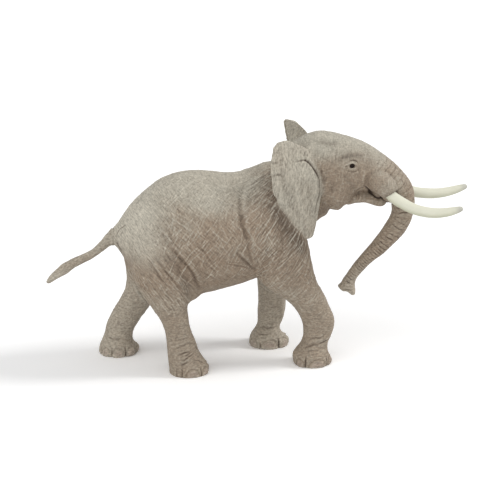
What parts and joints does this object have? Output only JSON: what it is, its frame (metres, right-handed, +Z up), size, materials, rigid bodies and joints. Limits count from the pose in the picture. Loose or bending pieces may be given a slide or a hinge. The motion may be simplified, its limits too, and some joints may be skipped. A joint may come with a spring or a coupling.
{
  "type": "toy elephant figure",
  "caption": "Painted solid-look PVC African elephant figure standing mid-stride, head turned to its right, with ivory tusks, swept-back ears and a hanging trunk.",
  "frame": {"origin": "on the ground, under the middle of the figure's bounding box", "axes": "+X from the rump towards the head, +Y to the animal's left, +Z up"},
  "size_m": [0.2119, 0.0766, 0.1178],
  "materials": {
    "skin": "matte painted PVC, grey-beige with a brown wash in the wrinkles",
    "tusk": "satin ivory-coloured PVC"
  },
  "bodies": {
    "root": {"torso_shell_right": "skin", "torso_shell_left": "skin", "leg_front_right": "skin", "leg_front_left": "skin", "leg_hind_right": "skin", "leg_hind_left": "skin", "head": "skin", "trunk": "skin", "lower_jaw": "skin", "ear_right": "skin", "ear_left": "skin", "tusk_right": "tusk", "tusk_left": "tusk", "tail": "skin"}
  },
  "joints": []
}
